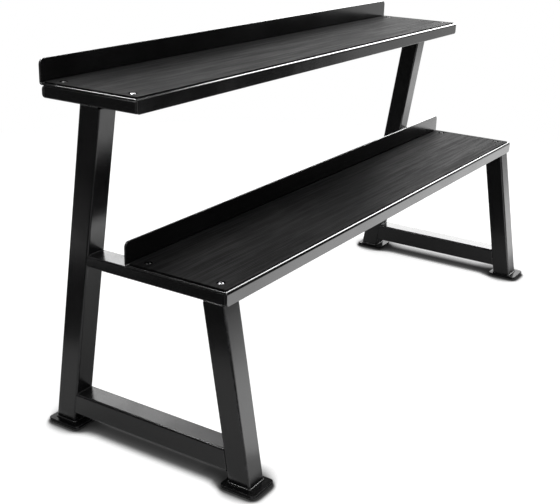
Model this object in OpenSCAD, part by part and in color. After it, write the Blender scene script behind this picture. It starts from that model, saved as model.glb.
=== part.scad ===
// Two-tier dumbbell rack: two welded end frames of square tube carry two folded sheet trays
// with rubber mats. X runs along the trays, the front faces -Y, and the floor is z = 0.

/* [Overall] */
// Length of the trays along X
rack_len = 1500; // [900:10:2200]
// Depth over the legs, front face to back face, where they stand on their plates
base_depth = 518; // [460:2:640]
// Height of the lower tray's surface above the floor
lower_shelf_h = 418; // [340:1:480]
// Height of the upper tray's surface above the floor
upper_shelf_h = 755; // [660:1:860]

/* [Legs and floor bars] */
// Side of the square leg tube
leg_w = 52; // [40:1:60]
// Wall of the leg tube
leg_wall = 2.5; // [1.5:0.5:4]
// Outer corner radius of the leg tube
leg_r = 5; // [4.2:0.2:8]
// Lean of the rear legs, forwards going up, in degrees
rear_lean = 8.1; // [4:0.1:10]
// Lean of the front legs, backwards going up, in degrees
front_lean = 10.1; // [6:0.1:12]
// Height of the floor bar's underside above the floor
floor_bar_z = 33; // [24:1:120]
// Height of the floor bar
floor_bar_h = 50; // [30:1:60]

/* [Shelf bars] */
// Height of the bars that carry the trays
bar_h = 25; // [20:1:40]
// Wall of the shelf bars
bar_wall = 2; // [1.5:0.5:3]
// Outer corner radius of the shelf bars
bar_r = 3.5; // [3.2:0.1:5]
// Thickness of the front end cap's flange
front_cap_t = 1.5; // [1:0.5:3]
// Depth of the rear end cap outside the tube
rear_cap_t = 9; // [6:0.5:14]
// Rounding of the rear end cap's top and bottom edges
rear_cap_r = 8; // [3:0.5:9]
// How far the upper bar ends in front of the upstand's back face
bar_rear_inset = 4.5; // [2:0.5:12]
// Depth of the end caps' plugs inside the tube
plug_len = 14; // [8:1:24]
// Clearance between a plug and its tube on each side
plug_gap = 0.2; // [0.1:0.05:0.5]

/* [Feet] */
// Width of a foot plate along X
plate_x = 76; // [70:1:110]
// Length of a foot plate along Y
plate_y = 84; // [78:1:120]
// How far a plate's middle lies outwards from the leg's middle
plate_shift_x = 3; // [0:1:8]
// How far a plate's middle lies in front of the leg's middle
plate_shift_y = 4; // [0:1:8]
// Thickness of a foot plate
plate_t = 6; // [4:0.5:10]
// Corner radius of a foot plate
plate_r = 9; // [4:0.5:15]
// Thickness of the rubber pad under a plate
pad_t = 5; // [3:0.5:10]
// How far the pad's edge lies inside the plate's edge
pad_inset = 1; // [0:0.5:5]

/* [Trays] */
// Depth of a tray, front face to back face
tray_depth = 250; // [220:1:300]
// Thickness of the tray sheet
sheet_t = 4; // [2:0.5:5]
// Inside radius of the tray's bends
bend_r = 2; // [1:0.5:4]
// Height of the front lip, down from the tray's surface
lip_h = 30; // [26:1:34]
// Height of the back upstand above the tray's surface
upstand_h = 48; // [30:1:70]
// Corner radius of the upstand
upstand_r = 12; // [4:1:16]
// Radius of the lip's lower corners
lip_r = 8; // [2:1:12]
// How far the lower tray's front face lies behind the front of the legs' feet
lower_setback = 61; // [52:1:68]
// How far the upper tray's back face lies behind the back of the legs' feet
upper_overhang = 2; // [-26:1:12]

/* [Mats] */
// Thickness of a rubber mat
mat_t = 3; // [2:0.5:6]
// Bare strip of tray at the mat's front and sides
mat_inset = 6; // [3:0.5:15]
// Gap between the mat and the upstand
mat_back_gap = 3; // [2:0.5:8]
// Corner radius of a mat
mat_r = 4; // [1:0.5:10]
// Clearance round a bolt head in the mat
mat_hole_gap = 2; // [1:0.5:4]

/* [Bolts] */
// Thread diameter of the tray bolts
bolt_d = 8; // [6:1:8]
// Length of the bolt below its head
bolt_len = 18; // [14:1:20]
// Diameter of the domed bolt head
head_d = 14; // [13:0.5:16]
// Height of the domed bolt head
head_h = 4.4; // [3:0.2:6]
// Size of the head's hexagon socket across its flats
socket_af = 5; // [4:0.5:6]
// Depth of the hexagon socket
socket_depth = 2.6; // [1.5:0.2:2.8]
// Distance of the bolts from the tray's ends
bolt_end_inset = 31; // [24:1:34]
// Distance of the bolts from the tray's front and back faces
bolt_edge_inset = 36; // [28:1:50]
// Clearance round the bolt in the tray
bolt_hole_gap = 0.5; // [0.3:0.1:1]
// Clearance between the bolt and its rivet nut
thread_gap = 0.1; // [0.05:0.05:0.2]
// Wall of the rivet nut's barrel
rivet_wall = 1.4; // [1:0.1:2]
// Length of the rivet nut below the bar's top wall
rivet_len = 13; // [10:0.5:16]
// Height of the rivet nut's bulge under the wall
rivet_bulge_h = 3; // [2:0.5:4]
// Width of the rivet nut's bulge past its barrel
rivet_bulge = 1.4; // [1:0.2:2]

/* [Welds] */
// Leg length of the weld beads
weld_r = 3; // [2:0.5:3.5]
// Swell of a bead's face, as a share of its leg length
weld_bulge = 0.85; // [0.75:0.05:1]

/* [Hidden] */
$fn = 48;
steel = "#1d1e20";
weld_tone = "#2a2b2d";
rubber = "#2c2d2e";
plastic = "#141415";
zinc = "#8d9093";
over = 1;                                   // how far a cutting tool runs past what it cuts
far = 2000;                                 // larger than the whole rack

plate_top = pad_t + plate_t;
end_x = rack_len / 2;                       // outer face of an end frame
frame_x = end_x - leg_w / 2;                // middle of an end frame
rear_base_y = base_depth / 2 + plate_shift_y;   // outer leg faces at the plate's top
front_base_y = plate_shift_y - base_depth / 2;
lower_tray_front = front_base_y + lower_setback;
upper_tray_front = rear_base_y + upper_overhang - tray_depth;
lower_bar_top = lower_shelf_h - sheet_t;
upper_bar_top = upper_shelf_h - sheet_t;
lower_bar_z = lower_bar_top - bar_h;
upper_bar_z = upper_bar_top - bar_h;
lower_bar_front = lower_tray_front + sheet_t + front_cap_t;
upper_bar_front = upper_tray_front + sheet_t + front_cap_t;
upper_bar_back = upper_tray_front + tray_depth - bar_rear_inset - rear_cap_t;
bend_outer = bend_r + sheet_t;
rivet_d = bolt_d + 2 * (thread_gap + rivet_wall);
hole_d = bolt_d + 2 * bolt_hole_gap;
mat_hole_d = head_d + 2 * mat_hole_gap;
rear_depth = leg_w / cos(rear_lean);        // depth of a leaning leg, measured level
front_depth = leg_w / cos(front_lean);
rear_foot_y = rear_base_y - rear_depth / 2; // middle of each leg at the plate's top
front_foot_y = front_base_y + front_depth / 2;

// Y of a leg's outer and inner face at height z
function rear_back_y(z) = rear_base_y - (z - plate_top) * tan(rear_lean);
function rear_front_y(z) = rear_back_y(z) - rear_depth;
function front_front_y(z) = front_base_y + (z - plate_top) * tan(front_lean);
function front_back_y(z) = front_front_y(z) + front_depth;

// Rectangle with round corners, centred
module round_rect(w, d, r) {
    square([w - 2 * r, d], center = true);
    square([w, d - 2 * r], center = true);
    for (sx = [-1, 1], sy = [-1, 1])
        translate([sx * (w / 2 - r), sy * (d / 2 - r)]) circle(r);
}

// Section of a rectangular tube, centred
module tube_section(w, d, r, wall) {
    difference() {
        round_rect(w, d, r);
        round_rect(w - 2 * wall, d - 2 * wall, r - wall);
    }
}

// Lays a flat outline (Y, Z) out along X, centred
module along_x(len) {
    translate([-len / 2, 0, 0]) rotate([90, 0, 90]) linear_extrude(len) children();
}

// Lays a flat outline (X, Z) out along Y, from y0 to y1
module along_y(y0, y1) {
    translate([0, y1, 0]) rotate([90, 0, 0]) linear_extrude(y1 - y0) children();
}

// Everything in front of, or behind, the plane of a leg's face that meets a bar
module behind_rear_face() {
    translate([0, rear_front_y(plate_top), plate_top]) rotate([rear_lean, 0, 0])
        translate([-far / 2, 0, -far / 2]) cube(far);
}
module ahead_of_front_face() {
    translate([0, front_back_y(plate_top), plate_top]) rotate([-front_lean, 0, 0])
        translate([-far / 2, -far, -far / 2]) cube(far);
}

// Leaning legs of the left end, from the plate's top to the bar above
module rear_leg_shape(top) {
    intersection() {
        translate([-frame_x, rear_base_y, plate_top]) rotate([rear_lean, 0, 0])
            translate([0, -leg_w / 2, -leg_w]) linear_extrude(far) children();
        translate([-far, -far, plate_top]) cube([2 * far, 2 * far, top - plate_top]);
    }
}
module front_leg_shape(top) {
    intersection() {
        translate([-frame_x, front_base_y, plate_top]) rotate([-front_lean, 0, 0])
            translate([0, leg_w / 2, -leg_w]) linear_extrude(far) children();
        translate([-far, -far, plate_top]) cube([2 * far, 2 * far, top - plate_top]);
    }
}

module rear_leg() {
    color(steel) rear_leg_shape(upper_bar_z) tube_section(leg_w, leg_w, leg_r, leg_wall);
}

module front_leg() {
    color(steel) front_leg_shape(lower_bar_z) tube_section(leg_w, leg_w, leg_r, leg_wall);
}

module floor_bar() {
    color(steel) difference() {
        translate([-frame_x, 0, floor_bar_z + floor_bar_h / 2])
            along_y(front_base_y, rear_base_y)
                tube_section(leg_w, floor_bar_h, leg_r, leg_wall);
        behind_rear_face();
        ahead_of_front_face();
    }
}

// Wall hole of a rivet nut, flared at the top for its flush head
module rivet_hole() {
    translate([0, 0, -bar_wall - over]) cylinder(d = rivet_d, h = bar_wall + 2 * over);
    translate([0, 0, -rivet_wall]) cylinder(d1 = rivet_d, d2 = rivet_d + 2 * rivet_wall, h = rivet_wall);
}

module shelf_bar(y0, y1, top) {
    translate([-frame_x, 0, top - bar_h / 2])
        along_y(y0, y1) tube_section(leg_w, bar_h, bar_r, bar_wall);
}

module mid_bar() {
    color(steel) difference() {
        shelf_bar(lower_bar_front, rear_base_y, lower_bar_top);
        behind_rear_face();
        at_bolts(lower_tray_front, lower_bar_top) rivet_hole();
    }
}

module top_bar() {
    color(steel) difference() {
        shelf_bar(upper_bar_front, upper_bar_back, upper_bar_top);
        at_bolts(upper_tray_front, upper_bar_top) rivet_hole();
    }
}

module foot_plate(y) {
    color(steel) translate([-frame_x - plate_shift_x, y - plate_shift_y, pad_t])
        linear_extrude(plate_t) round_rect(plate_x, plate_y, plate_r);
}

module foot_pad(y) {
    color(rubber) translate([-frame_x - plate_shift_x, y - plate_shift_y, 0]) linear_extrude(pad_t)
        round_rect(plate_x - 2 * pad_inset, plate_y - 2 * pad_inset, plate_r - pad_inset);
}

// Plug of an end cap: fits inside the bar with a small clearance
module cap_plug(y0, top) {
    inside = bar_wall + plug_gap;
    translate([-frame_x, 0, top - bar_h / 2]) along_y(y0, y0 + plug_len)
        round_rect(leg_w - 2 * inside, bar_h - 2 * inside, bar_r - bar_wall);
}

module front_cap(bar_front, top) {
    color(plastic) {
        translate([-frame_x, 0, top - bar_h / 2])
            along_y(bar_front - front_cap_t, bar_front) round_rect(leg_w, bar_h, bar_r);
        cap_plug(bar_front, top);
    }
}

// The cap's outline from the side: flat against the bar, round at the back
module rear_cap_outline() {
    square([rear_cap_t - rear_cap_r, bar_h]);
    translate([0, rear_cap_r]) square([rear_cap_t, bar_h - 2 * rear_cap_r]);
    for (z = [rear_cap_r, bar_h - rear_cap_r])
        translate([rear_cap_t - rear_cap_r, z]) circle(rear_cap_r);
}

module rear_cap() {
    color(plastic) {
        intersection() {
            translate([-frame_x, upper_bar_back, upper_bar_z])
                along_x(leg_w) rear_cap_outline();
            translate([-frame_x, 0, upper_bar_top - bar_h / 2])
                along_y(upper_bar_back, upper_bar_back + rear_cap_t)
                    round_rect(leg_w, bar_h, bar_r);
        }
        cap_plug(upper_bar_back - plug_len, upper_bar_top);
    }
}

// Weld bead along X in the corner at (y, z), between two faces that leave it at angles a and b,
// measured from +Y towards +Z
module cross_bead(y, z, a, b) {
    mid = (a + b) / 2;
    translate([-frame_x, y, z]) along_x(leg_w - 2 * leg_r) polygon([
        [0, 0],
        weld_r * [cos(a), sin(a)],
        weld_bulge * weld_r * [cos(mid), sin(mid)],
        weld_r * [cos(b), sin(b)]]);
}

// Weld beads along Y beside a leg's foot
module side_beads(y, depth) {
    for (s = [0, 1]) translate([-frame_x, 0, plate_top]) mirror([s, 0, 0])
        translate([leg_w / 2, 0, 0]) along_y(y - depth / 2 + leg_r, y + depth / 2 - leg_r)
            polygon([
                [0, 0],
                [weld_r, 0],
                weld_bulge * weld_r * [cos(45), sin(45)],
                [0, weld_r]]);
}

module frame_welds() {
    floor_bar_top = floor_bar_z + floor_bar_h;
    rear_up = 90 + rear_lean;
    front_up = 90 - front_lean;
    color(weld_tone) {
        side_beads(rear_foot_y, rear_depth);
        side_beads(front_foot_y, front_depth);
        cross_bead(rear_back_y(plate_top), plate_top, 0, rear_up);
        cross_bead(rear_front_y(plate_top), plate_top, rear_up, 180);
        cross_bead(front_back_y(plate_top), plate_top, 0, front_up);
        cross_bead(front_front_y(plate_top), plate_top, front_up, 180);
        for (z = [floor_bar_top, lower_bar_top]) cross_bead(rear_front_y(z), z, rear_up, 180);
        for (z = [floor_bar_z, lower_bar_z])
            cross_bead(rear_front_y(z), z, 180, rear_up + 180);
        cross_bead(front_back_y(floor_bar_top), floor_bar_top, 0, front_up);
        cross_bead(front_back_y(floor_bar_z), floor_bar_z, front_up - 180, 0);
        cross_bead(front_front_y(lower_bar_z), lower_bar_z, 180, front_up + 180);
        cross_bead(front_back_y(lower_bar_z), lower_bar_z, front_up - 180, 0);
        cross_bead(rear_front_y(upper_bar_z), upper_bar_z, 180, rear_up + 180);
        cross_bead(rear_back_y(upper_bar_z), upper_bar_z, rear_up - 180, 0);
    }
}

// Quarter ring of a bend in the sheet
module bend(quadrant) {
    intersection() {
        difference() {
            circle(bend_outer);
            circle(bend_r);
        }
        rotate(quadrant * 90) square(bend_outer + over);
    }
}

// The tray's outline from the side, with its front face at 0 and its surface at 0
module tray_outline() {
    translate([bend_outer, -sheet_t]) square([tray_depth - 2 * bend_outer, sheet_t]);
    translate([bend_outer, -bend_outer]) bend(1);
    translate([0, -lip_h]) square([sheet_t, lip_h - bend_outer]);
    translate([tray_depth - bend_outer, bend_outer - sheet_t]) bend(3);
    translate([tray_depth - sheet_t, bend_outer - sheet_t])
        square([sheet_t, upstand_h + sheet_t - bend_outer]);
}

// What a round corner of radius r leaves outside it
module corner_waste(r) {
    difference() {
        square(r + over);
        circle(r);
    }
}

// Places children at the four bolts of a tray
module at_bolts(front, z) {
    for (sx = [-1, 1], y = [front + bolt_edge_inset, front + tray_depth - bolt_edge_inset])
        translate([sx * (end_x - bolt_end_inset), y, z]) children();
}

module tray(front, top) {
    color(steel) difference() {
        translate([0, front, top]) along_x(rack_len) tray_outline();
        for (m = [0, 1]) mirror([m, 0, 0]) {
            translate([end_x - upstand_r, 0, top + upstand_h - upstand_r])
                along_y(front + tray_depth - sheet_t - over, front + tray_depth + over)
                    corner_waste(upstand_r);
            translate([end_x - lip_r, 0, top - lip_h + lip_r])
                along_y(front - over, front + sheet_t + over)
                    mirror([0, 1]) corner_waste(lip_r);
        }
        at_bolts(front, top - sheet_t - over) cylinder(d = hole_d, h = sheet_t + 2 * over);
    }
}

module mat(front, top) {
    mat_depth = tray_depth - sheet_t - mat_back_gap - mat_inset;
    color(rubber) difference() {
        translate([0, front + mat_inset + mat_depth / 2, top])
            linear_extrude(mat_t) round_rect(rack_len - 2 * mat_inset, mat_depth, mat_r);
        at_bolts(front, top - over) cylinder(d = mat_hole_d, h = mat_t + 2 * over);
    }
}

// Domed socket-head bolt, standing on z = 0
module bolt() {
    dome_r = (head_d * head_d / 4 + head_h * head_h) / (2 * head_h);
    difference() {
        union() {
            translate([0, 0, -bolt_len]) cylinder(d = bolt_d, h = bolt_len);
            intersection() {
                translate([0, 0, head_h - dome_r]) sphere(dome_r);
                cylinder(d = head_d, h = head_h);
            }
        }
        translate([0, 0, head_h - socket_depth])
            cylinder(d = socket_af / cos(30), h = socket_depth + over, $fn = 6);
    }
}

// Flush rivet nut, its top level with the bar's top face
module rivet_nut() {
    barrel_h = bar_wall + rivet_len;
    difference() {
        union() {
            translate([0, 0, -barrel_h]) cylinder(d = rivet_d, h = barrel_h);
            translate([0, 0, -rivet_wall])
                cylinder(d1 = rivet_d, d2 = rivet_d + 2 * rivet_wall, h = rivet_wall);
            translate([0, 0, -bar_wall - rivet_bulge_h])
                cylinder(d = rivet_d + 2 * rivet_bulge, h = rivet_bulge_h);
        }
        translate([0, 0, -barrel_h - over])
            cylinder(d = bolt_d + 2 * thread_gap, h = barrel_h + 2 * over);
    }
}

module tray_bolts(front, top) {
    color(zinc) at_bolts(front, top) bolt();
}

module rivet_nuts(front, top) {
    color(zinc) at_bolts(front, top) rivet_nut();
}

module right() {
    mirror([1, 0, 0]) children();
}

rear_leg();  // left_rear_leg
front_leg();  // left_front_leg
floor_bar();  // left_floor_bar
mid_bar();  // left_mid_bar
top_bar();  // left_top_bar
foot_plate(rear_foot_y);  // left_rear_foot_plate
foot_plate(front_foot_y);  // left_front_foot_plate
foot_pad(rear_foot_y);  // left_rear_foot_pad
foot_pad(front_foot_y);  // left_front_foot_pad
front_cap(lower_bar_front, lower_bar_top);  // left_mid_bar_cap
front_cap(upper_bar_front, upper_bar_top);  // left_top_bar_front_cap
rear_cap();  // left_top_bar_rear_cap
frame_welds();  // left_frame_welds
right() rear_leg();  // right_rear_leg
right() front_leg();  // right_front_leg
right() floor_bar();  // right_floor_bar
right() mid_bar();  // right_mid_bar
right() top_bar();  // right_top_bar
right() foot_plate(rear_foot_y);  // right_rear_foot_plate
right() foot_plate(front_foot_y);  // right_front_foot_plate
right() foot_pad(rear_foot_y);  // right_rear_foot_pad
right() foot_pad(front_foot_y);  // right_front_foot_pad
right() front_cap(lower_bar_front, lower_bar_top);  // right_mid_bar_cap
right() front_cap(upper_bar_front, upper_bar_top);  // right_top_bar_front_cap
right() rear_cap();  // right_top_bar_rear_cap
right() frame_welds();  // right_frame_welds
tray(lower_tray_front, lower_shelf_h);  // lower_tray
tray(upper_tray_front, upper_shelf_h);  // upper_tray
mat(lower_tray_front, lower_shelf_h);  // lower_mat
mat(upper_tray_front, upper_shelf_h);  // upper_mat
tray_bolts(lower_tray_front, lower_shelf_h);  // lower_tray_bolts
tray_bolts(upper_tray_front, upper_shelf_h);  // upper_tray_bolts
rivet_nuts(lower_tray_front, lower_bar_top);  // lower_rivet_nuts
rivet_nuts(upper_tray_front, upper_bar_top);  // upper_rivet_nuts
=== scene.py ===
import bpy
import bmesh
import math
from mathutils import Matrix, Vector


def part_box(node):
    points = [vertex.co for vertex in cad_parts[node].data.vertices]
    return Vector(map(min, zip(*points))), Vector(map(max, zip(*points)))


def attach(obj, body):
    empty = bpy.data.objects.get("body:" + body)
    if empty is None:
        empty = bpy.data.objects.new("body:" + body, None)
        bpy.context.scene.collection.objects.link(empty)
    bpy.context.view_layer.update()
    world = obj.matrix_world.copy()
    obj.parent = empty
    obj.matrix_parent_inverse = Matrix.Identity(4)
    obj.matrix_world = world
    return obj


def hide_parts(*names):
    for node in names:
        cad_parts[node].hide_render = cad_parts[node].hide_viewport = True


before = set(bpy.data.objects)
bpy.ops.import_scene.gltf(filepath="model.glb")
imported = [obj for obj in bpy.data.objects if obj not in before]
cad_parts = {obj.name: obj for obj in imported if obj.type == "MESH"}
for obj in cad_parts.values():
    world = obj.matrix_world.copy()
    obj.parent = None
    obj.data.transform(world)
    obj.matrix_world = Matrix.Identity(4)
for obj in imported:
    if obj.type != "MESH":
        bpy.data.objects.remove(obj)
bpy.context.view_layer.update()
mm = 0.001
sameGap = 1e-6  # places closer than this count as one
mergeGap = 1e-7  # corners closer than this are merged in a finished piece
alongShare = 0.999  # an edge runs along an axis when at least this share of its length does
cornerAngle = 60  # degrees from which an edge counts as a corner to round
print("rack: frame loaded")


# small helpers for nodes: a value is either a number or another node's output

def setSocket(tree, socket, value):
    if isinstance(value, (int, float)):
        socket.default_value = value
    else:
        tree.links.new(value, socket)


def mathNode(tree, operation, first, second=None):
    node = tree.nodes.new("ShaderNodeMath")
    node.operation = operation
    setSocket(tree, node.inputs[0], first)
    if second is not None:
        setSocket(tree, node.inputs[1], second)
    return node.outputs[0]


def rampNode(tree, value, low, high, toLow=0.0, toHigh=1.0):
    node = tree.nodes.new("ShaderNodeMapRange")
    node.interpolation_type = "SMOOTHSTEP"
    tree.links.new(value, node.inputs["Value"])
    for label, number in (("From Min", low), ("From Max", high), ("To Min", toLow), ("To Max", toHigh)):
        setSocket(tree, node.inputs[label], number)
    return node.outputs[0]


def noiseNode(tree, vector, scale, detail, rough=0.5):
    node = tree.nodes.new("ShaderNodeTexNoise")
    setSocket(tree, node.inputs["Scale"], scale)
    node.inputs["Detail"].default_value = detail
    node.inputs["Roughness"].default_value = rough
    tree.links.new(vector, node.inputs["Vector"])
    return node.outputs["Fac"]


def stretchNode(tree, vector, scale):
    node = tree.nodes.new("ShaderNodeMapping")
    node.inputs["Scale"].default_value = scale
    tree.links.new(vector, node.inputs["Vector"])
    return node.outputs[0]


def mixColour(tree, factor, low, high):
    node = tree.nodes.new("ShaderNodeMix")
    node.data_type = "RGBA"
    tree.links.new(factor, node.inputs["Factor"])
    for label, colour in (("A", low), ("B", high)):
        socket = [s for s in node.inputs if s.name == label and s.type == "RGBA"][0]
        if isinstance(colour, tuple):
            socket.default_value = colour + (1,)
        else:
            tree.links.new(colour, socket)
    return [s for s in node.outputs if s.type == "RGBA"][0]


def mixShaders(tree, factor, low, high):
    node = tree.nodes.new("ShaderNodeMixShader")
    for socket, value in zip(node.inputs, (factor, low, high)):
        tree.links.new(value, socket)
    return node.outputs[0]


def objectPlace(tree):
    return tree.nodes.new("ShaderNodeTexCoord").outputs["Object"]


def startMaterial(name):
    material = bpy.data.materials.new(name)
    material.use_nodes = True
    tree = material.node_tree
    return material, tree, tree.nodes["Principled BSDF"]


def makeMatte(shader, tone, rough):
    shader.inputs["Base Color"].default_value = (tone,) * 3 + (1,)
    shader.inputs["Roughness"].default_value = rough
    shader.inputs["Specular IOR Level"].default_value = 0.0


# small helpers for meshes

def isVert(item):
    return isinstance(item, bmesh.types.BMVert)


def isEdge(item):
    return isinstance(item, bmesh.types.BMEdge)


def pullEdges(bm, edges, step):  # draws edges out into faces and gives the new far edges
    made = bmesh.ops.extrude_edge_only(bm, edges=edges)["geom"]
    verts = [g for g in made if isVert(g)]
    bmesh.ops.translate(bm, verts=verts, vec=step)
    inside = set(verts)
    return [g for g in made if isEdge(g) and all(v in inside for v in g.verts)]


def meshObject(name, bm):
    mesh = bpy.data.meshes.new(name)
    bm.to_mesh(mesh)
    bm.free()
    made = bpy.data.objects.new(name, mesh)
    bpy.context.scene.collection.objects.link(made)
    return made


# camera, floor and light

cameraSetup = {
    "place": (-2.1820, -1.1918, 1.1403),
    "azimuth": 58.30, "elevation": 20.07, "roll": 1.85,  # degrees
    "lens": 64.89, "sensor": 36.0,
    "sight": 60.0,  # metres that the camera sees
}


def addCamera(setup):
    az, el, roll = (math.radians(setup[k]) for k in ("azimuth", "elevation", "roll"))
    back = Vector((-math.sin(az) * math.cos(el), -math.cos(az) * math.cos(el), math.sin(el)))
    right = Vector((math.cos(az), -math.sin(az), 0))
    up = back.cross(right)
    turned = math.cos(roll) * right + math.sin(roll) * up
    turnedUp = math.cos(roll) * up - math.sin(roll) * right
    data = bpy.data.cameras.new("rackCamera")
    data.lens = setup["lens"]
    data.sensor_width = setup["sensor"]
    data.clip_end = setup["sight"]
    camera = bpy.data.objects.new("rackCamera", data)
    turn = Matrix((turned, turnedUp, back)).transposed().to_4x4()
    camera.matrix_world = Matrix.Translation(setup["place"]) @ turn
    bpy.context.scene.collection.objects.link(camera)
    bpy.context.scene.camera = camera


# tone and rough are what lights the rack, the rest is what the camera sees: grey sheet plus an even
# lift, which turn plain white between the near and the far distance
floorSetup = {"size": 24.0, "tone": 0.92, "rough": 0.9, "sheet": 0.45, "lift": 0.80, "near": 1.2, "far": 2.6}
# shade on the paper close to the rack: how far and which way each row looks, the open share where
# the shade begins and where it is full, and the light left there
creaseSetup = {
    "underFeet": {"reach": 0.045, "toward": (0, 0, 1), "open": 0.95, "shut": 0.65, "dark": 0.11},
    "besideBars": {"reach": 0.045, "toward": (0.80, 0.30, 0.52), "open": 0.97, "shut": 0.60, "dark": 0.60},
    "behindBars": {"reach": 0.08, "toward": (-0.80, -0.30, 0.52), "open": 0.95, "shut": 0.55, "dark": 0.25},
}
creaseSamples = 32


def creaseShade(tree, setup):  # 1 on open paper, towards 0 close to the rack
    shade = None
    for crease in setup.values():
        node = tree.nodes.new("ShaderNodeAmbientOcclusion")
        node.samples = creaseSamples
        node.inputs["Distance"].default_value = crease["reach"]
        toward = tree.nodes.new("ShaderNodeCombineXYZ")
        for socket, value in zip(toward.inputs, Vector(crease["toward"]).normalized()):
            socket.default_value = value
        tree.links.new(toward.outputs[0], node.inputs["Normal"])
        level = rampNode(tree, node.outputs["AO"], crease["shut"], crease["open"], crease["dark"])
        shade = level if shade is None else mathNode(tree, "MULTIPLY", shade, level)
    return shade


def seenRays(tree):  # 1 for a ray that shows the background: from the camera, or off metal or through glass
    rays = tree.nodes.new("ShaderNodeLightPath")
    seen = rays.outputs["Is Camera Ray"]
    for ray in ("Is Glossy Ray", "Is Transmission Ray"):
        seen = mathNode(tree, "MAXIMUM", seen, rays.outputs[ray])
    return seen


def addFloor(setup):
    bm = bmesh.new()
    bmesh.ops.create_grid(bm, x_segments=1, y_segments=1, size=setup["size"] / 2)
    floor = meshObject("studioFloor", bm)
    material, tree, shader = startMaterial("studioFloor")
    nodes, links = tree.nodes, tree.links
    makeMatte(shader, setup["tone"], setup["rough"])
    shade = creaseShade(tree, creaseSetup)
    lift = nodes.new("ShaderNodeEmission")
    links.new(mathNode(tree, "MULTIPLY", shade, setup["lift"]), lift.inputs["Strength"])
    sheet = nodes.new("ShaderNodeBsdfDiffuse")
    links.new(mathNode(tree, "MULTIPLY", shade, setup["sheet"]), sheet.inputs["Color"])
    paper = nodes.new("ShaderNodeAddShader")
    links.new(sheet.outputs[0], paper.inputs[0])
    links.new(lift.outputs[0], paper.inputs[1])
    reach = nodes.new("ShaderNodeVectorMath")
    reach.operation = "LENGTH"
    links.new(objectPlace(tree), reach.inputs[0])
    away = rampNode(tree, reach.outputs["Value"], setup["near"], setup["far"])
    white = nodes.new("ShaderNodeEmission")
    seen = mixShaders(tree, away, paper.outputs[0], white.outputs[0])
    shown = mixShaders(tree, seenRays(tree), shader.outputs[0], seen)
    links.new(shown, nodes["Material Output"].inputs["Surface"])
    floor.data.materials.append(material)


worldSetup = {"seen": 1.0, "light": 0.55}


def addWorld(setup):
    world = bpy.data.worlds.new("studioWorld")
    world.use_nodes = True
    bpy.context.scene.world = world
    tree = world.node_tree
    sky = tree.nodes["Background"]
    sky.inputs["Color"].default_value = (1, 1, 1, 1)
    level = rampNode(tree, seenRays(tree), 0.0, 1.0, setup["light"], setup["seen"])
    tree.links.new(level, sky.inputs["Strength"])


# light panels: the ones with diffuse off only show as lines and gradients in the coat
lampSetup = {
    "frontPanel": {"place": (-1.0, -2.4, 3.0), "aim": (0, 0, 0.3), "size": (2.6, 1.8), "watts": 60,
                   "diffuse": True},
    "backPanel": {"place": (2.9, 2.0, 1.45), "aim": (0, 0, 0.4), "size": (3.6, 1.7), "watts": 75,
                  "diffuse": True},
    "lowStrip": {"place": (1.2, -0.62, 0.02), "aim": (1.2, -0.62, 1.0), "size": (3.6, 0.56), "watts": 9,
                 "diffuse": False},
    "bendPanel": {"place": (2.6, 0.10, 2.45), "aim": (0, -0.1, 0.6), "size": (1.3, 2.3), "watts": 165,
                  "diffuse": False},
    "edgePanel": {"place": (-0.55, 0.50, 1.45), "aim": (-0.55, 0.50, 0.0), "size": (0.4, 0.7), "watts": 40,
                  "diffuse": False},
    "endPanel": {"place": (-1.10, 0.43, 1.45), "aim": (-1.10, 0.43, 0.0), "size": (0.25, 0.26), "watts": 9,
                 "diffuse": False},
}


def addLamps(setup):
    for name, lamp in setup.items():
        data = bpy.data.lights.new(name, "AREA")
        data.shape = "RECTANGLE"
        data.size, data.size_y = lamp["size"]
        data.energy = lamp["watts"]
        panel = bpy.data.objects.new(name, data)
        aim = Vector(lamp["aim"]) - Vector(lamp["place"])
        turn = aim.to_track_quat("-Z", "Y").to_matrix().to_4x4()
        panel.matrix_world = Matrix.Translation(lamp["place"]) @ turn
        panel.visible_camera = False
        panel.visible_diffuse = lamp["diffuse"]
        bpy.context.scene.collection.objects.link(panel)


# cards round the set that only reflections show: an edge swept into a sheet, most of them dark to
# keep the coat's faces dark, and two paler ones low down
cardSetup = {
    "leftCove": {"from": (-1.7, -0.5, 0.01), "to": (-1.7, -0.5, 2.4), "sweep": (0, 3.6, 0), "tone": 0.06},
    "leftFloor": {"from": (-1.5, -0.5, 0.01), "to": (-2.2, -0.5, 0.01), "sweep": (1.6, 3.6, 0), "tone": 0.05},
    "nearFloor": {"from": (-0.775, -0.6, 0.006), "to": (-1.35, -0.6, 0.006), "sweep": (0, 1.6, 0),
                  "tone": 0.70},
    "sideCard": {"from": (0.9, -1.7, 0.75), "to": (2.9, -0.9, 0.75), "sweep": (0, 0, 1.9), "tone": 0.02},
    "frontCard": {"from": (0.1, -1.35, 0.02), "to": (2.5, -1.35, 0.02), "sweep": (0, 0, 0.7), "tone": 0.02},
    "topCard": {"from": (-1.2, -0.4, 1.55), "to": (0.5, -0.4, 1.55), "sweep": (0, 2.2, 0), "tone": 0.02},
    "underCard": {"from": (-0.72, -0.3, 0.003), "to": (1.1, -0.3, 0.003), "sweep": (0, 1.3, 0), "tone": 0.5},
    "cameraCard": {"from": (-2.3, -2.2, 0.004), "to": (-0.85, -2.2, 0.004), "sweep": (0, 1.7, 0),
                   "tone": 0.05},
    "innerCard": {"from": (0.35, -0.17, 0.01), "to": (0.35, 0.05, 0.01), "sweep": (0, 0, 0.37), "tone": 0.05},
    "rearCard": {"from": (0.35, 0.06, 0.01), "to": (0.35, 1.2, 0.01), "sweep": (0, 0, 0.69), "tone": 0.05},
}


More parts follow.
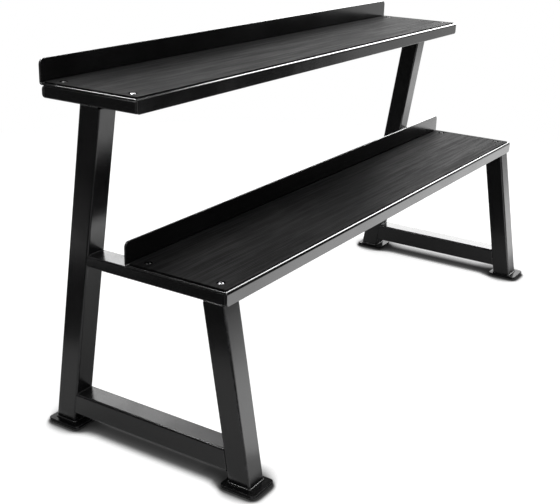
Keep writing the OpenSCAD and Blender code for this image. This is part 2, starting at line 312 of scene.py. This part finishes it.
def addCards(setup):
    for name, card in setup.items():
        bm = bmesh.new()
        ends = [bm.verts.new(card[key]) for key in ("from", "to")]
        pullEdges(bm, [bm.edges.new(ends)], card["sweep"])
        sheet = meshObject(name, bm)
        material, _, shader = startMaterial(name)
        makeMatte(shader, card["tone"], 1.0)
        sheet.data.materials.append(material)
        for ray in ("camera", "diffuse", "shadow", "transmission"):
            setattr(sheet, "visible_" + ray, False)


addCamera(cameraSetup)
addFloor(floorSetup)
addWorld(worldSetup)
addLamps(lampSetup)
addCards(cardSetup)
bpy.context.scene.view_settings.view_transform = "Standard"
print("rack: studio ready")


# shared surface effects, as node groups that take coordinates and values and give masks and heights

def newGroup(name, values, masks):
    group = bpy.data.node_groups.new(name, "ShaderNodeTree")
    group.interface.new_socket("Vector", in_out="INPUT", socket_type="NodeSocketVector")
    for way, labels in (("INPUT", values), ("OUTPUT", masks)):
        for label in labels:
            group.interface.new_socket(label, in_out=way, socket_type="NodeSocketFloat")
    return group, group.nodes.new("NodeGroupInput").outputs, group.nodes.new("NodeGroupOutput").inputs


def blendParts(tree, parts):  # the sum of values, each taken times its share
    total = None
    for value, share in parts:
        part = mathNode(tree, "MULTIPLY", value, share)
        total = part if total is None else mathNode(tree, "ADD", total, part)
    return total


def markedShare(tree):  # 1 on the faces that a piece has marked as worn, and on the bolts as painted shade, 0 on the others
    node = tree.nodes.new("ShaderNodeAttribute")
    node.attribute_name = "wearOrShadeShare"
    return node.outputs["Fac"]


coatGrainSetup = {"fineShare": 0.3, "broadShare": 0.7, "patchScale": 7.0}


def makeCoatGrain(spec):  # the fine orange peel of a baked powder coat
    group, start, end = newGroup("coatGrain", ("Grain", "Peel"), ("Height", "Patches"))
    fine = noiseNode(group, start["Vector"], start["Grain"], detail=1.0)
    broad = noiseNode(group, start["Vector"], start["Peel"], detail=1.5)
    height = blendParts(group, ((fine, spec["fineShare"]), (broad, spec["broadShare"])))
    patches = noiseNode(group, start["Vector"], spec["patchScale"], detail=3.0, rough=0.6)
    group.links.new(height, end["Height"])
    group.links.new(patches, end["Patches"])
    return group


edgeWearSetup = {"from": 0.2, "holesLow": 0.42, "holesHigh": 0.62}


def makeEdgeWear(spec):  # coat rubbed thin and paler along outside corners
    group, start, end = newGroup("edgeWear", ("Breakup",), ("Mask",))
    edge = rampNode(group, markedShare(group), spec["from"], 1.0)
    noise = noiseNode(group, start["Vector"], start["Breakup"], detail=3.0, rough=0.6)
    broken = rampNode(group, noise, spec["holesLow"], spec["holesHigh"])
    group.links.new(mathNode(group, "MULTIPLY", edge, broken), end["Mask"])
    return group


dustVeilSetup = {"slope": 0.4, "cloudLow": 0.35, "cloudHigh": 0.75}


def makeDustVeil(spec):  # light dust that settles on what faces up
    group, start, end = newGroup("dustVeil", ("Spread",), ("Mask",))
    shape = group.nodes.new("ShaderNodeNewGeometry")
    parts = group.nodes.new("ShaderNodeSeparateXYZ")
    group.links.new(shape.outputs["Normal"], parts.inputs[0])
    level = rampNode(group, parts.outputs["Z"], spec["slope"], 1.0)
    noise = noiseNode(group, start["Vector"], start["Spread"], detail=4.0, rough=0.6)
    cloud = rampNode(group, noise, spec["cloudLow"], spec["cloudHigh"])
    group.links.new(mathNode(group, "MULTIPLY", level, cloud), end["Mask"])
    return group


matRibsSetup = {"flank": 0.6, "broadStreaks": (3.5, 110.0, 1.0), "fineStreaks": (9.0, 380.0, 1.0),
                "gritScale": 1400.0, "gritShare": 0.35}


def makeMatRibs(spec):  # fine ribs and soft streaks that run along the shelf
    group, start, end = newGroup("matRibs", ("Pitch",), ("Height", "Streaks"))
    parts = group.nodes.new("ShaderNodeSeparateXYZ")
    group.links.new(start["Vector"], parts.inputs[0])
    turns = mathNode(group, "DIVIDE", parts.outputs["Y"], start["Pitch"])
    wave = mathNode(group, "SINE", mathNode(group, "MULTIPLY", turns, math.tau))
    ribs = rampNode(group, wave, -spec["flank"], spec["flank"])
    streaks = []
    for key in ("broadStreaks", "fineStreaks"):
        stretched = stretchNode(group, start["Vector"], spec[key])
        streaks.append((noiseNode(group, stretched, 1.0, detail=3.0, rough=0.6), 0.5))
    grit = noiseNode(group, start["Vector"], spec["gritScale"], detail=2.0, rough=0.6)
    height = mathNode(group, "ADD", ribs, mathNode(group, "MULTIPLY", grit, spec["gritShare"]))
    group.links.new(height, end["Height"])
    group.links.new(blendParts(group, streaks), end["Streaks"])
    return group


coatGrain = makeCoatGrain(coatGrainSetup)
edgeWear = makeEdgeWear(edgeWearSetup)
dustVeil = makeDustVeil(dustVeilSetup)
matRibs = makeMatRibs(matRibsSetup)
print("rack: surface effects ready")


def placeGroup(tree, group, vector, **values):
    node = tree.nodes.new("ShaderNodeGroup")
    node.node_tree = group
    tree.links.new(vector, node.inputs["Vector"])
    for label, value in values.items():
        node.inputs[label].default_value = value
    return node


def bumpInto(tree, shader, height, strength, distance):
    bump = tree.nodes.new("ShaderNodeBump")
    bump.inputs["Strength"].default_value = strength
    bump.inputs["Distance"].default_value = distance
    tree.links.new(height, bump.inputs["Height"])
    tree.links.new(bump.outputs[0], shader.inputs["Normal"])


# black coats: dark and light are the two tones of the coat, worn the tone of its rubbed corners
coatSetup = {
    "frameCoat": {"dark": (0.0026, 0.0026, 0.0028), "light": (0.0044, 0.0044, 0.0047),
                  "worn": (0.035, 0.035, 0.037), "wear": 0.35, "rough": 0.22, "gloss": 0.5,
                  "bump": 0.10, "dust": 0.02, "grain": 900.0, "peel": 170.0},
    "trayCoat": {"dark": (0.0010, 0.0010, 0.0011), "light": (0.0018, 0.0018, 0.0020),
                 "worn": (0.04, 0.04, 0.042), "wear": 0.4, "rough": 0.20, "gloss": 0.5,
                 "bump": 0.08, "dust": 0.02, "grain": 900.0, "peel": 150.0},
    "plateCoat": {"dark": (0.0022, 0.0022, 0.0024), "light": (0.0038, 0.0038, 0.0041),
                  "worn": (0.05, 0.05, 0.052), "wear": 0.5, "rough": 0.20, "gloss": 0.06,
                  "bump": 0.10, "dust": 0.01, "grain": 900.0, "peel": 170.0},
    "weldCoat": {"dark": (0.0035, 0.0035, 0.0038), "light": (0.010, 0.010, 0.0107),
                 "worn": (0.06, 0.06, 0.063), "wear": 0.5, "rough": 0.26, "gloss": 0.5,
                 "bump": 0.35, "dust": 0.03, "grain": 700.0, "peel": 420.0},
}
coatShared = {"breakup": 70.0, "spread": 9.0, "dustColour": (0.24, 0.235, 0.225), "patchLow": 0.3,
              "patchHigh": 0.7, "smoother": 0.03, "rougher": 0.04, "bumpDepth": 0.4 * mm}


def coatMaterial(name, spec, shared):
    material, tree, shader = startMaterial(name)
    place = objectPlace(tree)
    grain = placeGroup(tree, coatGrain, place, Grain=spec["grain"], Peel=spec["peel"])
    wear = placeGroup(tree, edgeWear, place, Breakup=shared["breakup"])
    dust = placeGroup(tree, dustVeil, place, Spread=shared["spread"])
    rubbed = mathNode(tree, "MULTIPLY", wear.outputs["Mask"], spec["wear"])
    veiled = mathNode(tree, "MULTIPLY", dust.outputs["Mask"], spec["dust"])
    body = mixColour(tree, grain.outputs["Patches"], spec["dark"], spec["light"])
    worn = mixColour(tree, rubbed, body, spec["worn"])
    dusted = mixColour(tree, veiled, worn, shared["dustColour"])
    tree.links.new(dusted, shader.inputs["Base Color"])
    patchy = rampNode(tree, grain.outputs["Patches"], shared["patchLow"], shared["patchHigh"],
                      spec["rough"] - shared["smoother"], spec["rough"] + shared["rougher"])
    tree.links.new(mathNode(tree, "ADD", patchy, veiled), shader.inputs["Roughness"])
    shader.inputs["Specular IOR Level"].default_value = spec["gloss"]
    bumpInto(tree, shader, grain.outputs["Height"], spec["bump"], shared["bumpDepth"])
    return material


matRubberSetup = {"dark": (0.0020, 0.0020, 0.0021), "light": (0.009, 0.009, 0.0095), "streakLow": 0.38,
                  "streakHigh": 0.64, "dust": 0.08, "dustColour": (0.06, 0.059, 0.056), "spread": 6.0,
                  "rough": 0.60, "uneven": 0.06, "gloss": 0.017, "pitch": 5 * mm, "bump": 0.25,
                  "bumpDepth": 0.6 * mm}


def matMaterial(name, spec):
    material, tree, shader = startMaterial(name)
    place = objectPlace(tree)
    ribs = placeGroup(tree, matRibs, place, Pitch=spec["pitch"])
    dust = placeGroup(tree, dustVeil, place, Spread=spec["spread"])
    streak = rampNode(tree, ribs.outputs["Streaks"], spec["streakLow"], spec["streakHigh"])
    streaked = mixColour(tree, streak, spec["dark"], spec["light"])
    veiled = mathNode(tree, "MULTIPLY", dust.outputs["Mask"], spec["dust"])
    tree.links.new(mixColour(tree, veiled, streaked, spec["dustColour"]), shader.inputs["Base Color"])
    rough = rampNode(tree, streak, 0.0, 1.0, spec["rough"] + spec["uneven"], spec["rough"] - spec["uneven"])
    tree.links.new(rough, shader.inputs["Roughness"])
    shader.inputs["Specular IOR Level"].default_value = spec["gloss"]
    bumpInto(tree, shader, ribs.outputs["Height"], spec["bump"], spec["bumpDepth"])
    return material


plainSetup = {  # where a bolt material gives a dark tone for marked faces, that tone is painted shade on its sockets and darkened heads
    "padRubber": {"dark": (0.010, 0.010, 0.010), "light": (0.020, 0.020, 0.020), "rough": 0.7,
                  "metal": 0.0, "bump": 0.3, "scale": 500.0},
    "capPlastic": {"dark": (0.008, 0.008, 0.008), "light": (0.014, 0.014, 0.014), "rough": 0.42,
                   "metal": 0.0, "bump": 0.2, "scale": 800.0},
    "boltZinc": {"dark": (0.24, 0.24, 0.25), "light": (0.34, 0.34, 0.35), "rough": 0.32,
                 "metal": 1.0, "bump": 0.10, "scale": 600.0, "paintedShade": (0.012, 0.012, 0.012)},
    "nutZinc": {"dark": (0.42, 0.42, 0.43), "light": (0.55, 0.55, 0.56), "rough": 0.4,
                "metal": 1.0, "bump": 0.15, "scale": 400.0},
}
plainShared = {"peelShare": 0.25, "spread": 20.0, "dust": 0.05, "dustColour": (0.2, 0.2, 0.19),
               "patchLow": 0.35, "patchHigh": 0.65, "grainLow": 0.3, "grainHigh": 0.7, "uneven": 0.05,
               "bumpDepth": 0.3 * mm}


def plainMaterial(name, spec, shared):
    material, tree, shader = startMaterial(name)
    place = objectPlace(tree)
    grain = placeGroup(tree, coatGrain, place, Grain=spec["scale"], Peel=spec["scale"] * shared["peelShare"])
    dust = placeGroup(tree, dustVeil, place, Spread=shared["spread"])
    patches = rampNode(tree, grain.outputs["Patches"], shared["patchLow"], shared["patchHigh"])
    body = mixColour(tree, patches, spec["dark"], spec["light"])
    veiled = mathNode(tree, "MULTIPLY", dust.outputs["Mask"], shared["dust"])
    colour = mixColour(tree, veiled, body, shared["dustColour"])
    # painted shade: marked bolt faces take this dark tone in place of their zinc
    if "paintedShade" in spec:
        colour = mixColour(tree, markedShare(tree), colour, spec["paintedShade"])
    tree.links.new(colour, shader.inputs["Base Color"])
    rough = rampNode(tree, grain.outputs["Height"], shared["grainLow"], shared["grainHigh"],
                     spec["rough"] - shared["uneven"], spec["rough"] + shared["uneven"])
    tree.links.new(rough, shader.inputs["Roughness"])
    shader.inputs["Metallic"].default_value = spec["metal"]
    bumpInto(tree, shader, grain.outputs["Height"], spec["bump"], shared["bumpDepth"])
    return material


materials = {name: coatMaterial(name, spec, coatShared) for name, spec in coatSetup.items()}
materials["matRubber"] = matMaterial("matRubber", matRubberSetup)
materials.update({name: plainMaterial(name, spec, plainShared) for name, spec in plainSetup.items()})
print("rack: materials ready")


# helpers for building the pieces

def newShape():
    bm = bmesh.new()
    bm.faces.layers.int.new("wearOrShade")  # marks faces that show wear, and on the bolts the faces that get painted shade
    return bm


def edgesAlong(bm, axis):
    found = []
    for edge in bm.edges:
        step = edge.verts[1].co - edge.verts[0].co
        if step.length > mergeGap and abs(step.normalized()[axis]) > alongShare:
            found.append(edge)
    return found


def sharpEdges(bm):
    least = math.radians(cornerAngle)
    return [e for e in bm.edges if len(e.link_faces) == 2 and e.calc_face_angle(0) > least]


def roundEdges(bm, edges, size, segments):
    made = bmesh.ops.bevel(bm, geom=edges, offset=size, offset_type="OFFSET", segments=segments, profile=0.5,
                           affect="EDGES", clamp_overlap=False, material=-1)
    wearOrShade = bm.faces.layers.int["wearOrShade"]
    for face in made["faces"]:
        face[wearOrShade] = 1


def plainBlock(low, high):
    bm = newShape()
    bmesh.ops.create_cube(bm, size=1)
    bmesh.ops.scale(bm, vec=high - low, verts=bm.verts)
    bmesh.ops.translate(bm, vec=(high + low) / 2, verts=bm.verts)
    return bm


def roundedBlock(low, high, along, radius, segments):
    bm = plainBlock(low, high)
    roundEdges(bm, edgesAlong(bm, along), radius, segments)
    return bm


def cutFlat(bm, point, normal):  # keeps what lies behind the plane and closes the cut
    bmesh.ops.bisect_plane(bm, geom=bm.verts[:] + bm.edges[:] + bm.faces[:], plane_co=point, plane_no=normal,
                           clear_outer=True)
    bmesh.ops.holes_fill(bm, edges=[e for e in bm.edges if e.is_boundary])


finishSetup = {"smoothAngle": 38.0, "normalWeight": 80}


def finishPiece(name, bm, material, stands, angle=finishSetup["smoothAngle"]):
    bmesh.ops.remove_doubles(bm, verts=bm.verts, dist=mergeGap)
    bmesh.ops.recalc_face_normals(bm, faces=bm.faces)
    marked = bm.faces.layers.int.get("wearOrShade")
    share = [1.0 if marked is not None and all(f[marked] for f in v.link_faces) else 0.0 for v in bm.verts]
    piece = meshObject(name, bm)
    mesh = piece.data
    mesh.attributes.new("wearOrShadeShare", "FLOAT", "POINT").data.foreach_set("value", share)
    mesh.polygons.foreach_set("use_smooth", [True] * len(mesh.polygons))
    mesh.set_sharp_from_angle(angle=math.radians(angle))
    mesh.materials.append(materials[material])
    even = piece.modifiers.new("evenNormals", "WEIGHTED_NORMAL")
    even.keep_sharp = True
    even.weight = finishSetup["normalWeight"]
    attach(piece, "root")
    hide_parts(*stands)


# welded end frames: each leg leans towards the other one, given in degrees about X

legSetup = {"rearLean": 8.1, "frontLean": -10.1, "radius": 5 * mm, "segments": 6}


def leaningLeg(side, end, spec):
    node = f"{side}_{end}_leg"
    low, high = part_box(node)
    wide = high.x - low.x
    back = end == "rear"
    foot = Vector(((low.x + high.x) / 2, high.y if back else low.y, low.z))
    bm = roundedBlock(Vector((-wide / 2, -wide if back else 0, -wide)),
                      Vector((wide / 2, 0 if back else wide, high.z)), 2, spec["radius"], spec["segments"])
    lean = Matrix.Rotation(math.radians(spec[end + "Lean"]), 3, "X")
    bmesh.ops.rotate(bm, cent=(0, 0, 0), matrix=lean, verts=bm.verts)
    bmesh.ops.translate(bm, vec=foot, verts=bm.verts)
    cutFlat(bm, low, (0, 0, -1))
    cutFlat(bm, high, (0, 0, 1))
    finishPiece(f"{side}{end.title()}Leg", bm, "frameCoat", [node])


def legDepth(side, end):  # front to back, where a level plane cuts the leg
    low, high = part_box(f"{side}_{end}_leg")
    return (high.x - low.x) / math.cos(math.radians(legSetup[end + "Lean"]))


def innerFace(side, end):  # point and outward normal of the face that a leg turns to the other leg
    low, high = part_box(f"{side}_{end}_leg")
    lean = math.radians(legSetup[end + "Lean"])
    way = 1 if end == "rear" else -1
    start = high.y if end == "rear" else low.y
    point = Vector((0, start - way * legDepth(side, end), low.z))
    return point, Vector((0, -way * math.cos(lean), -way * math.sin(lean)))


def faceAt(side, end, z):  # how far back that face lies at a height
    point = innerFace(side, end)[0]
    return point.y - (z - point.z) * math.tan(math.radians(legSetup[end + "Lean"]))


barSetup = {  # corner radius, and the legs against whose faces the bar ends
    "floor": {"radius": 5 * mm, "meets": ("rear", "front")},
    "mid": {"radius": 3.5 * mm, "meets": ("rear",)},
    "top": {"radius": 3.5 * mm, "meets": ()},
}
barSegments = 5


def endFrameBars(side, setup):
    for bar, spec in setup.items():
        node = f"{side}_{bar}_bar"
        bm = roundedBlock(*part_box(node), 1, spec["radius"], barSegments)
        for end in spec["meets"]:
            point, normal = innerFace(side, end)
            cutFlat(bm, point, -normal)
        finishPiece(f"{side}{bar.title()}Bar", bm, "frameCoat", [node])


capSetup = {"back": 8 * mm, "backSegments": 8, "side": 3.4 * mm, "sideSegments": 4, "frontSegments": 5,
            "rim": 0.5 * mm, "rimSegments": 2}


def rearCap(side, spec):
    node = f"{side}_top_bar_rear_cap"
    low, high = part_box(node)
    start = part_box(f"{side}_top_bar")[1].y
    bm = plainBlock(Vector((low.x, start, low.z)), high)
    backEdges = [e for e in edgesAlong(bm, 0) if e.verts[0].co.y > start + sameGap]
    roundEdges(bm, backEdges, spec["back"], spec["backSegments"])
    sides = [e for e in bm.edges if abs(e.verts[0].co.x - e.verts[1].co.x) < sameGap
             and max(v.co.y for v in e.verts) > start + sameGap]
    roundEdges(bm, sides, spec["side"], spec["sideSegments"])
    finishPiece(f"{side}TopBarRearCap", bm, "capPlastic", [node])


def frontCap(side, bar, node, spec):
    low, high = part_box(node)
    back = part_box(f"{side}_{bar}_bar")[0].y
    bm = roundedBlock(low, Vector((high.x, back, high.z)), 1, spec["side"], spec["frontSegments"])
    frontEdges = [e for e in bm.edges if all(abs(v.co.y - low.y) < sameGap for v in e.verts)]
    roundEdges(bm, frontEdges, spec["rim"], spec["rimSegments"])
    finishPiece(f"{side}{bar.title()}BarFrontCap", bm, "capPlastic", [node])


footSetup = {
    "plate": {"radius": 9 * mm, "rim": 0.9 * mm, "material": "plateCoat", "slot": "powder_coat"},
    "pad": {"radius": 8 * mm, "rim": 0.8 * mm, "material": "padRubber", "slot": "pad_rubber"},
}
footSegments = {"corner": 8, "rim": 3}


def feet(side, end, setup):
    for part, spec in setup.items():
        node = f"{side}_{end}_foot_{part}"
        bm = roundedBlock(*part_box(node), 2, spec["radius"], footSegments["corner"])
        roundEdges(bm, sharpEdges(bm), spec["rim"], footSegments["rim"])
        finishPiece(f"{side}{end.title()}Foot{part.title()}", bm, spec["material"], [node])


weldSetup = {
    "radius": 2.5 * mm, "ring": 8,
    "ripple": 1.5 * mm, "depth": 0.09,  # length of a ripple, and how much it swells
    "taper": 0.45,  # what is left of the radius at an open end
    "mergeShare": 0.02,  # share of the radius within which a closed bead's two ends are merged
    "inset": 5 * mm,  # from the corners of the leg to the ends of a bead across it
    "seamRadius": 1.5 * mm, "seamSink": 0.9 * mm,  # flat seams on the flush sides, and how deep they lie
    "seamInset": 4 * mm, "midSeamInset": 3 * mm,
    "cornerSteps": 6,
    "aside": Vector((0.11, 0.23, 1)).normalized(),  # a direction that no open bead runs in
    "smoothAngle": 70.0,
}


def frameAt(point, along, up):  # axes for a bead's ring, with Z along the bead
    across = up.cross(along).normalized()
    turn = Matrix((across, along.cross(across).normalized(), along)).transposed().to_4x4()
    return Matrix.Translation(point) @ turn


def rippledBead(welds, path, radius, spec, closed=False):
    bm = bmesh.new()
    ring = bmesh.ops.create_circle(bm, segments=spec["ring"], radius=radius)["verts"]
    edges = list({e for v in ring for e in v.link_edges})
    here, size = Matrix.Identity(4), 1.0
    count = len(path)
    for i in range(count + 1 if closed else count):
        if closed:
            ahead, behind, up = path[(i + 1) % count], path[(i - 1) % count], Vector((0, 0, 1))
        else:
            ahead, behind, up = path[min(i + 1, count - 1)], path[max(i - 1, 0)], spec["aside"]
        there = frameAt(path[i % count], (ahead - behind).normalized(), up)
        swell = 1 + spec["depth"] * (-1) ** i
        if not closed and i in (0, count - 1):
            swell = spec["taper"]
        if i:
            edges = pullEdges(bm, edges, (0, 0, 0))
            ring = list({v for e in edges for v in e.verts})
        bmesh.ops.transform(bm, matrix=there @ Matrix.Scale(swell / size, 4) @ here.inverted(), verts=ring)
        here, size = there, swell
    if closed:
        bmesh.ops.remove_doubles(bm, verts=bm.verts, dist=radius * spec["mergeShare"])
    else:
        bmesh.ops.holes_fill(bm, edges=[e for e in bm.edges if e.is_boundary])
    bmesh.ops.recalc_face_normals(bm, faces=bm.faces)
    bead = bpy.data.meshes.new("bead")
    bm.to_mesh(bead)
    bm.free()
    welds.from_mesh(bead)
    bpy.data.meshes.remove(bead)


def straightPath(start, finish, step):  # two points to each ripple
    count = max(4, int((finish - start).length / step * 2))
    return [start.lerp(finish, i / count) for i in range(count + 1)]


def footPath(side, end, spec):  # once round a leg where it meets its plate
    low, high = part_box(f"{side}_{end}_leg")
    wide, deep = high.x - low.x, legDepth(side, end)
    radius, steps = legSetup["radius"], spec["cornerSteps"]
    centre = Vector(((low.x + high.x) / 2, high.y - deep / 2 if end == "rear" else low.y + deep / 2, low.z))
    points = []
    for quarter, (x, y) in enumerate(((1, 1), (-1, 1), (-1, -1), (1, -1))):
        pivot = centre + Vector((x * (wide / 2 - radius), y * (deep / 2 - radius), 0))
        arc = []
        for k in range(steps + 1):
            turn = math.radians(90 * quarter + 90 * k / steps)
            arc.append(pivot + radius * Vector((math.cos(turn), math.sin(turn), 0)))
        if points:
            points += straightPath(points[-1], arc[0], spec["ripple"])[1:-1]
        points += arc
    points += straightPath(points[-1], points[0], spec["ripple"])[1:-1]
    return points


def frameWelds(side, spec):
    bm = bmesh.new()
    for end in ("rear", "front"):
        rippledBead(bm, footPath(side, end, spec), spec["radius"], spec, closed=True)
    low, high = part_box(f"{side}_rear_leg")
    floorLow, floorHigh = (corner.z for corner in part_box(f"{side}_floor_bar"))
    midLow, midHigh = (corner.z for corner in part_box(f"{side}_mid_bar"))
    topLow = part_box(f"{side}_top_bar")[0].z
    rearDeep, frontDeep = legDepth(side, "rear"), legDepth(side, "front")
    inset, midInset = spec["seamInset"], spec["midSeamInset"]

    def at(end, z, further=0.0):
        return faceAt(side, end, z) + further, z

    def bead(start, finish, radius):
        rippledBead(bm, straightPath(Vector(start), Vector(finish), spec["ripple"]), radius, spec)

    for place in (at("rear", floorLow), at("rear", floorHigh), at("rear", midLow), at("rear", midHigh),
                  at("front", floorLow), at("front", floorHigh), at("front", midLow),
                  at("front", midLow, -frontDeep), at("rear", topLow), at("rear", topLow, rearDeep)):
        bead((low.x + spec["inset"], *place), (high.x - spec["inset"], *place), spec["radius"])
    for x in (low.x + spec["seamSink"], high.x - spec["seamSink"]):
        for start, finish in ((at("rear", floorLow + inset), at("rear", floorHigh - inset)),
                              (at("front", floorLow + inset), at("front", floorHigh - inset)),
                              (at("rear", midLow + midInset), at("rear", midHigh - midInset)),
                              (at("front", midLow, inset - frontDeep), at("front", midLow, -inset)),
                              (at("rear", topLow, inset), at("rear", topLow, rearDeep - inset))):
            bead((x, *start), (x, *finish), spec["seamRadius"])
    finishPiece(f"{side}FrameWelds", bm, "weldCoat", [f"{side}_frame_welds"],
                spec["smoothAngle"])


for side in ("left", "right"):
    for end in ("rear", "front"):
        leaningLeg(side, end, legSetup)
        feet(side, end, footSetup)
    endFrameBars(side, barSetup)
    rearCap(side, capSetup)
    frontCap(side, "mid", f"{side}_mid_bar_cap", capSetup)
    frontCap(side, "top", f"{side}_top_bar_front_cap", capSetup)
    frameWelds(side, weldSetup)
print("rack: end frames built")


# folded trays, mats and bolts

traySetup = {
    "sheet": 4 * mm, "lip": 30 * mm,
    "inner": 2 * mm, "foldSteps": 8,  # inside radius of the two folds
    "upstandRadius": 12 * mm, "lipRadius": 8 * mm, "cornerSegments": 8,
    "rim": 1.6 * mm, "rimSegments": 4,
}


def foldEdges(bm, edges, centre, angle, steps):
    geom = edges + list({v for e in edges for v in e.verts})
    last = bmesh.ops.spin(bm, geom=geom, cent=centre, axis=(1, 0, 0), angle=math.radians(angle), steps=steps,
                          use_merge=False, use_duplicate=False)["geom_last"]
    return [g for g in last if isEdge(g)]


def foldedTray(name, node, spec):  # drawn out from the lower edge of the lip, up and over to the upstand
    low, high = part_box(node)
    top = low.z + spec["lip"]
    inner, steps = spec["inner"], spec["foldSteps"]
    outer = inner + spec["sheet"]
    back = high.y - spec["sheet"]
    bm = newShape()
    first = [bm.verts.new(low), bm.verts.new((high.x, low.y, low.z))]
    edges = pullEdges(bm, [bm.edges.new(first)], (0, 0, top - outer - low.z))
    edges = foldEdges(bm, edges, (0, low.y + outer, top - outer), -90, steps)
    edges = pullEdges(bm, edges, (0, back - inner - low.y - outer, 0))
    edges = foldEdges(bm, edges, (0, back - inner, top + inner), 90, steps)
    edges = pullEdges(bm, edges, (0, 0, high.z - top - inner))
    last = list({v for e in edges for v in e.verts})
    for verts, radius in ((first, spec["lipRadius"]), (last, spec["upstandRadius"])):
        bmesh.ops.bevel(bm, geom=verts, offset=radius, offset_type="OFFSET", segments=spec["cornerSegments"],
                        profile=0.5, affect="VERTICES", clamp_overlap=False, material=-1)
    bmesh.ops.recalc_face_normals(bm, faces=bm.faces)
    shelf = max(bm.faces, key=lambda f: f.calc_area())
    if shelf.normal.z < 0:  # the sheet's thickness goes down and back from here
        bmesh.ops.reverse_faces(bm, faces=bm.faces)
    bmesh.ops.solidify(bm, geom=bm.faces[:], thickness=spec["sheet"])
    roundEdges(bm, sharpEdges(bm), spec["rim"], spec["rimSegments"])
    finishPiece(name, bm, "trayCoat", [node])


boltSetup = {
    "head": 7 * mm, "height": 4.4 * mm,  # radius and height of the button head
    "socket": 5 * mm, "depth": 2.6 * mm, "mouth": 0.2,  # across flats, and the mouth's share of the depth
    "land": 0.35 * mm,  # flat ring round the socket
    "arc": 6, "steps": 48, "smoothAngle": 30.0,
}
matSetup = {
    "radius": 4 * mm, "segments": 6, "rim": 0.5 * mm, "rimSegments": 2,
    "hole": 9 * mm, "holeSteps": 48, "punch": 20 * mm,  # radius of the holes, and the length of what cuts them
    "flatAngle": 1.0,  # degrees up to which the faces left by the cut are joined
}


def boltPlaces(node):  # the four bolt centres, at the underside of the heads
    low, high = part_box(node)
    head = boltSetup["head"]
    return [Vector((x, y, high.z - boltSetup["height"])) for x in (low.x + head, high.x - head)
            for y in (low.y + head, high.y - head)]


def shelfMat(name, node, boltNode, spec):
    blank = meshObject(name + "Blank", roundedBlock(*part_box(node), 2, spec["radius"], spec["segments"]))
    bm = bmesh.new()
    for place in boltPlaces(boltNode):
        bmesh.ops.create_cone(bm, cap_ends=True, segments=spec["holeSteps"], radius1=spec["hole"],
                              radius2=spec["hole"], depth=spec["punch"], matrix=Matrix.Translation(place))
    punches = meshObject(name + "Punch", bm)
    cut = blank.modifiers.new("holes", "BOOLEAN")
    cut.object = punches
    cut.operation = "DIFFERENCE"
    cut.solver = "EXACT"
    bpy.context.view_layer.update()
    bm = bmesh.new()
    bm.from_object(blank, bpy.context.evaluated_depsgraph_get())
    for item in (blank, punches):
        bpy.data.objects.remove(item)
    if bm.faces.layers.int.get("wearOrShade") is None:
        bm.faces.layers.int.new("wearOrShade")
    bmesh.ops.remove_doubles(bm, verts=bm.verts, dist=sameGap)
    bmesh.ops.dissolve_limit(bm, angle_limit=math.radians(spec["flatAngle"]), verts=bm.verts, edges=bm.edges)
    roundEdges(bm, sharpEdges(bm), spec["rim"], spec["rimSegments"])
    finishPiece(name, bm, "matRubber", [node])


def vertsNearOrigin(bm):  # the head being made, as the finished ones are already in their places
    return [v for v in bm.verts if v.co.length < 50 * mm]


def buttonHead(bm, place, spec):  # domed, with a hexagon socket, made at the origin and then moved
    head, height = spec["head"], spec["height"]
    dome = (head * head + height * height) / (2 * height)
    across = spec["socket"] / 2 / math.cos(math.radians(30))
    inner = across + spec["land"]
    rise = lambda r: height - dome + math.sqrt(dome * dome - r * r)
    last = bm.verts.new((inner, 0, rise(inner)))
    outline = [last]
    for k in range(1, spec["arc"] + 1):
        r = inner + (head - inner) * k / spec["arc"]
        made = bmesh.ops.extrude_vert_indiv(bm, verts=[last])
        last = made["verts"][0]
        last.co = (r, 0, rise(r) if k < spec["arc"] else 0.0)
        outline += [last] + made["edges"]
    bmesh.ops.spin(bm, geom=outline, cent=(0, 0, 0), axis=(0, 0, 1), angle=math.tau, steps=spec["steps"],
                   use_merge=True, use_duplicate=False)
    bmesh.ops.remove_doubles(bm, verts=vertsNearOrigin(bm), dist=sameGap)
    edges = {e for v in vertsNearOrigin(bm) for e in v.link_edges}
    innerRing = [e for e in edges if all(abs(v.co.xy.length - inner) < sameGap for v in e.verts)]
    outerRing = [e for e in edges if all(v.co.z < mergeGap for v in e.verts)]
    hexagon = bmesh.ops.create_circle(bm, segments=6, radius=across,
                                      matrix=Matrix.Translation((0, 0, rise(inner))))["verts"]
    bmesh.ops.subdivide_edges(bm, edges=list({e for v in hexagon for e in v.link_edges}),
                              cuts=spec["steps"] // 6 - 1)
    socket = [e for e in bm.edges if e.is_wire]
    bmesh.ops.bridge_loops(bm, edges=innerRing + socket)
    old = set(bm.faces)
    for share in (spec["mouth"], 1 - spec["mouth"]):
        socket = pullEdges(bm, socket, (0, 0, -share * spec["depth"]))
    bmesh.ops.holes_fill(bm, edges=socket)
    # painted shade: the socket's walls and floor are marked to take the dark tone
    paintedShade = bm.faces.layers.int["wearOrShade"]
    for face in set(bm.faces) - old:
        face[paintedShade] = 1
    bmesh.ops.holes_fill(bm, edges=outerRing)
    bmesh.ops.translate(bm, verts=vertsNearOrigin(bm), vec=place)


def trayBolts(name, node, spec):
    bm = newShape()
    paintedShade = bm.faces.layers.int["wearOrShade"]
    places = boltPlaces(node)
    for place in places:
        old = set(bm.faces)
        buttonHead(bm, place, spec)
        if place != places[0]:  # painted shade: every head but the front left one of each shelf is darkened whole, only that one keeps its bright zinc round the socket
            for face in set(bm.faces) - old:
                face[paintedShade] = 1
    finishPiece(name, bm, "boltZinc", [node], spec["smoothAngle"])


for tier in ("lower", "upper"):
    foldedTray(f"{tier}Tray", f"{tier}_tray", traySetup)
    shelfMat(f"{tier}Mat", f"{tier}_mat", f"{tier}_tray_bolts", matSetup)
    trayBolts(f"{tier}TrayBolts", f"{tier}_tray_bolts", boltSetup)
    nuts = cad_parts[f"{tier}_rivet_nuts"]  # these keep their shape and only get a finish
    for slot in nuts.material_slots:
        slot.material = materials["nutZinc"]
print("rack: trays, mats and bolts built")

print("rack: finished")
